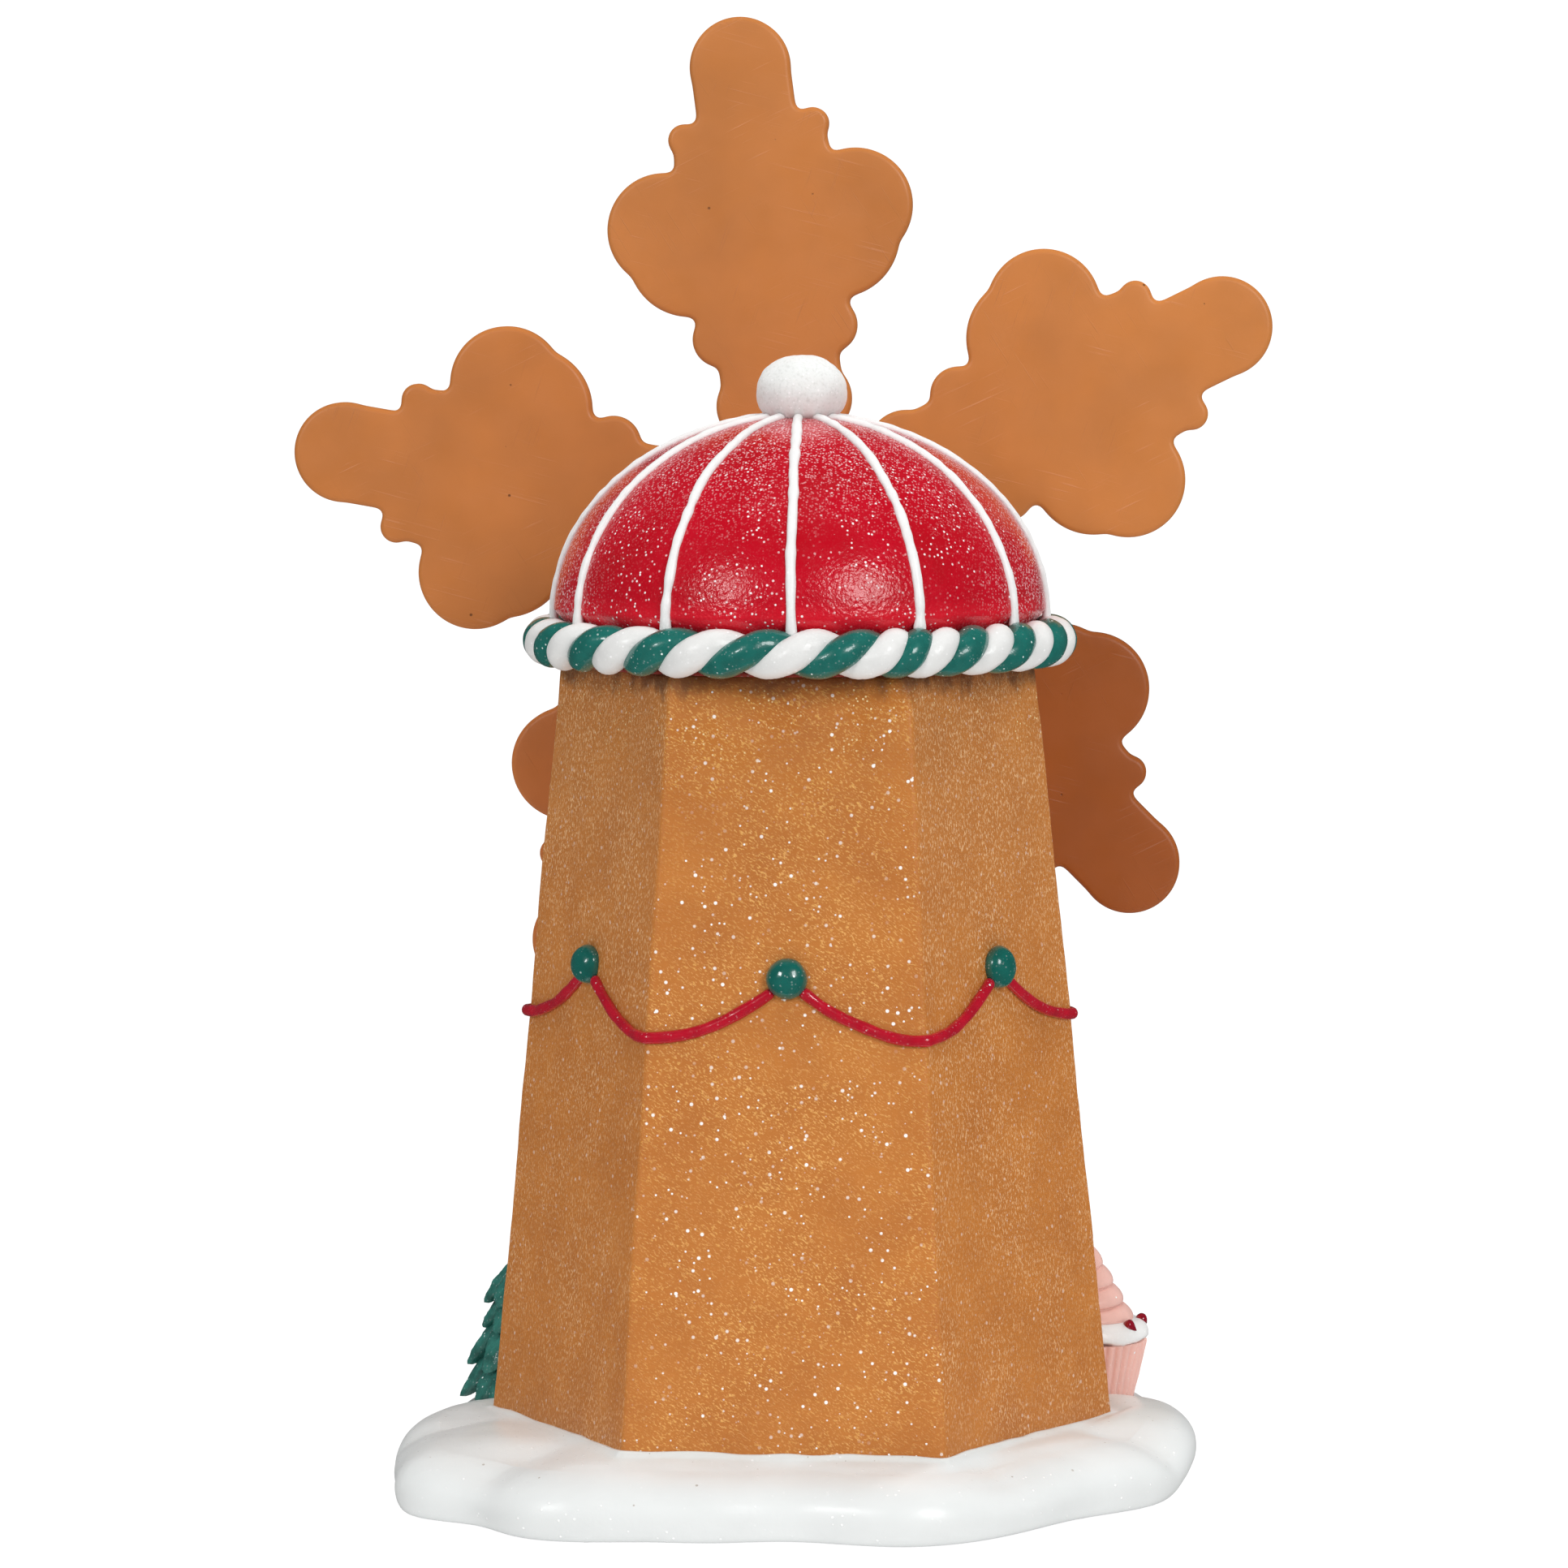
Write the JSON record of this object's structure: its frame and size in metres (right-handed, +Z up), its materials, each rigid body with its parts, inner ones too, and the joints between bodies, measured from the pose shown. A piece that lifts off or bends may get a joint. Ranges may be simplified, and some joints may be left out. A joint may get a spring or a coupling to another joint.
{
  "type": "souvenir windmill figurine",
  "caption": "Tabletop gingerbread windmill figurine with a ribbed dome, candy-rope rim, garland, snow base and a free-turning rotor of lobed blades.",
  "frame": {"origin": "centre of the flat felt underside, on the surface it stands on, under the tower's axis", "axes": "+Z up along the tower's axis; -Y towards the front, where the rotor is; +X to the right of a person facing the front"},
  "size_m": [0.2043, 0.1413, 0.2951],
  "materials": {
    "snow": "satin painted resin with fine glitter",
    "felt": "short-pile felt",
    "gingerbread_glitter": "painted resin with dense fine glitter",
    "dome_red": "glossy painted resin with white glitter",
    "bobble_white": "rough resin with frosted glitter",
    "rope_white": "semi-gloss painted resin",
    "rope_green": "semi-gloss painted resin",
    "icing_white": "semi-gloss piped paint",
    "garland_green": "semi-gloss painted resin",
    "garland_red": "glossy painted resin with glitter",
    "bush_brass": "turned",
    "trunk_brown": "painted resin",
    "tree_green": "painted resin",
    "wrapper_pink": "painted resin",
    "cream_white": "glossy painted resin",
    "swirl_pink": "semi-gloss painted resin",
    "berry_red": "glossy painted resin",
    "door_brown": "painted resin",
    "window_amber": "glossy painted resin",
    "gingerbread_plain": "hand-brushed flat paint",
    "candy_white": "glossy painted resin",
    "axle_steel": "drawn rod"
  },
  "bodies": {
    "windmill": {"snow_base": "snow", "felt_pad": "felt", "tower_shell": "gingerbread_glitter", "dome_cap": "dome_red", "pompom": "bobble_white", "rope_white": "rope_white", "rope_green": "rope_green", "dome_rib_1": "icing_white", "dome_rib_2": "icing_white", "dome_rib_3": "icing_white", "dome_rib_4": "icing_white", "dome_rib_5": "icing_white", "dome_rib_6": "icing_white", "dome_rib_7": "icing_white", "dome_rib_8": "icing_white", "dome_rib_9": "icing_white", "dome_rib_10": "icing_white", "dome_rib_11": "icing_white", "dome_rib_12": "icing_white", "garland_drop_1": "garland_green", "garland_drop_2": "garland_green", "garland_drop_3": "garland_green", "garland_drop_4": "garland_green", "garland_drop_5": "garland_green", "garland_drop_6": "garland_green", "garland_swag_1": "garland_red", "garland_swag_2": "garland_red", "garland_swag_3": "garland_red", "garland_swag_4": "garland_red", "garland_swag_5": "garland_red", "garland_swag_6": "garland_red", "axle_bush": "bush_brass", "tree_trunk": "trunk_brown", "tree_foliage": "tree_green", "cupcake_wrapper": "wrapper_pink", "cupcake_cream": "cream_white", "cupcake_swirl": "swirl_pink", "cupcake_berries": "berry_red", "door_panel": "door_brown", "door_frame": "icing_white", "door_knob": "garland_green", "window_pane": "window_amber", "window_frame": "icing_white"},
    "rotor": {"rotor_hub": "gingerbread_plain", "hub_candy": "candy_white", "axle": "axle_steel", "axle_washer": "axle_steel", "axle_clip": "axle_steel", "blade_1": "gingerbread_plain", "blade_2": "gingerbread_plain", "blade_3": "gingerbread_plain", "blade_4": "gingerbread_plain", "blade_5": "gingerbread_plain", "blade_icing_1": "icing_white", "blade_icing_2": "icing_white", "blade_icing_3": "icing_white", "blade_icing_4": "icing_white", "blade_icing_5": "icing_white"}
  },
  "joints": [
    {"name": "rotor_spin", "type": "hinge", "parent": "windmill", "child": "rotor", "pos_m": [0.0036, -0.06, 0.1881], "axis": [0, -1, 0], "continuous": true}
  ]
}
